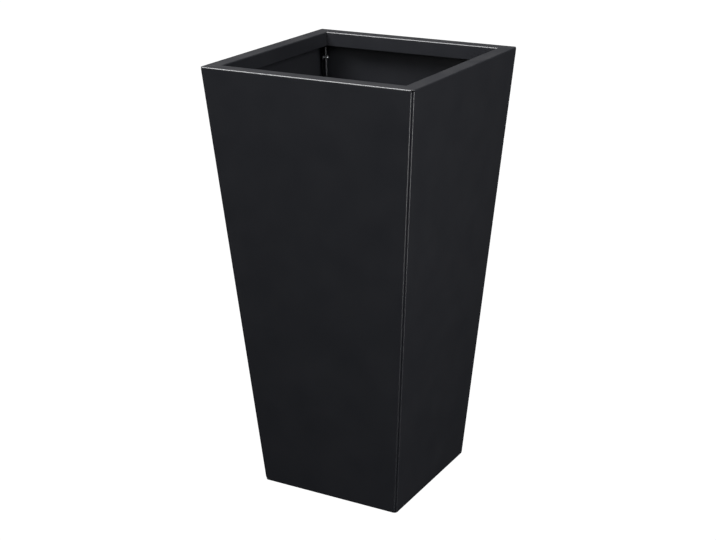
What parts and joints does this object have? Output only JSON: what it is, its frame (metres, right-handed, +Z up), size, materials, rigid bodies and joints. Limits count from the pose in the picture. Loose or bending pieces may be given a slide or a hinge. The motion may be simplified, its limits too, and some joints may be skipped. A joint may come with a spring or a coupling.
{
  "type": "tapered metal planter",
  "caption": "Tall square planter of folded sheet steel, tapering to the foot, with a flat folded rim, bolted corner seams and a drained base plate.",
  "frame": {"origin": "centre of the footprint, on the ground", "axes": "+Z up along the planter's axis, front panel facing -Y, right panel facing +X"},
  "size_m": [0.3596, 0.3596, 0.7],
  "materials": {
    "panel_coat": "satin black powder coat",
    "base_coat": "satin black powder coat",
    "zinc_fasteners": "bright zinc plate"
  },
  "bodies": {
    "root": {"front_panel": "panel_coat", "right_panel": "panel_coat", "rear_panel": "panel_coat", "left_panel": "panel_coat", "base_plate": "base_coat", "front_right_screws": "zinc_fasteners", "front_right_washers": "zinc_fasteners", "front_right_nuts": "zinc_fasteners", "rear_right_screws": "zinc_fasteners", "rear_right_washers": "zinc_fasteners", "rear_right_nuts": "zinc_fasteners", "rear_left_screws": "zinc_fasteners", "rear_left_washers": "zinc_fasteners", "rear_left_nuts": "zinc_fasteners", "front_left_screws": "zinc_fasteners", "front_left_washers": "zinc_fasteners", "front_left_nuts": "zinc_fasteners", "base_studs": "zinc_fasteners", "base_washers": "zinc_fasteners", "base_nuts": "zinc_fasteners"}
  },
  "joints": []
}
